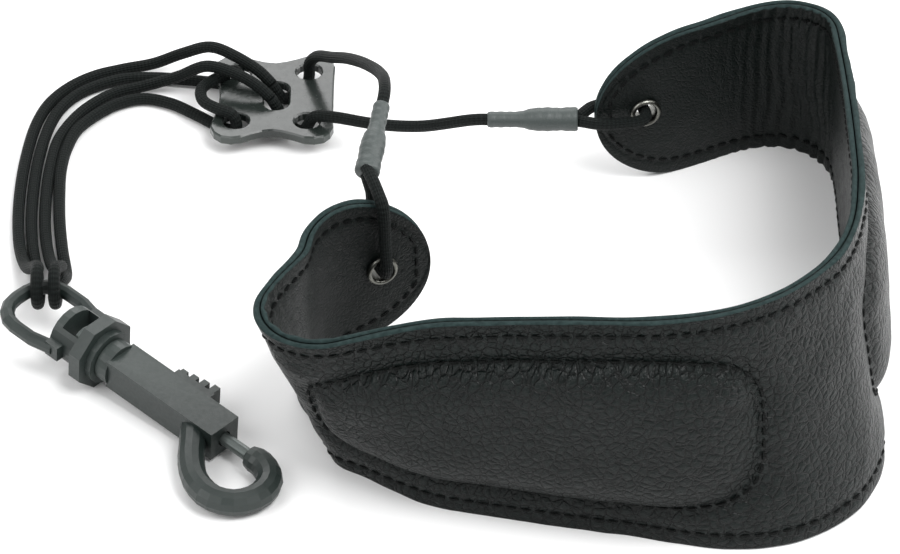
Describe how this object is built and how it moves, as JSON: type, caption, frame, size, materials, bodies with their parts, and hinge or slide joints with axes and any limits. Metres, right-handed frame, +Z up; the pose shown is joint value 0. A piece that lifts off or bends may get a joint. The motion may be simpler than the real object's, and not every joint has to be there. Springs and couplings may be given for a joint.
{
  "type": "instrument neck strap",
  "caption": "Padded leather neck strap standing as a C, with a braided cord through a slider plate to a swivel snap hook with a sprung bolt.",
  "frame": {"origin": "centre of the bottom of the strap's box, on the surface it stands on", "axes": "+Z up, +X along the front of the band towards its middle corner, +Y towards the slider and the far end"},
  "size_m": [0.2119, 0.1854, 0.0654],
  "materials": {
    "leather": "pebbled grain, satin, dyed black with a faint green cast",
    "lining": "smoother inner leather with fine creases",
    "foam": "sealed soft foam",
    "thread": "black polyester thread",
    "eyelet_metal": "black nickel",
    "sleeve": "grey-black heat-shrink, satin",
    "cord": "black braided nylon",
    "slider_metal": "glossy black over cast metal, worn at the rim",
    "hook_plastic": "moulded dark grey-green nylon, matte",
    "steel": "dark coated steel"
  },
  "bodies": {
    "band": {"outer_leather": "leather", "lining": "lining", "foam_pad_left": "foam", "foam_pad_right": "foam", "edge_seam": "thread", "pad_seam_left": "thread", "pad_seam_right": "thread", "eyelet_left": "eyelet_metal", "eyelet_right": "eyelet_metal", "eyelet_washer_left": "eyelet_metal", "eyelet_washer_right": "eyelet_metal", "sleeve_left": "sleeve", "sleeve_right": "sleeve", "loop_left": "cord", "loop_right": "cord", "cord": "cord"},
    "slider": {"slider_plate": "slider_metal"},
    "eye": {"swivel_eye": "hook_plastic"},
    "hook": {"hook_body": "hook_plastic", "swivel_stud": "steel", "plunger_spring": "steel"},
    "plunger": {"bolt": "steel", "thumb_slide": "hook_plastic"}
  },
  "joints": [
    {"name": "slider_travel", "type": "slide", "parent": "band", "child": "slider", "axis": [-1, 0, 0], "range_m": [-0.003, 0.01], "deforming": ["cord"]},
    {"name": "eye_swing", "type": "hinge", "parent": "band", "child": "eye", "pos_m": [-0.0947, -0.0093, 0.0114], "axis": [-1, 0, 0], "range_deg": [0, 10]},
    {"name": "hook_swivel", "type": "hinge", "parent": "eye", "child": "hook", "pos_m": [-0.0759, -0.0348, 0.008], "axis": [0.7402, -0.6665, -0.0889], "range_deg": [-70, 100]},
    {"name": "bolt_slide", "type": "slide", "parent": "hook", "child": "plunger", "axis": [-0.7402, 0.6665, 0.0889], "range_m": [0, 0.0045], "stiffness_N_per_m": 400, "springref_m": -0.006, "deforming": ["plunger_spring"]}
  ]
}
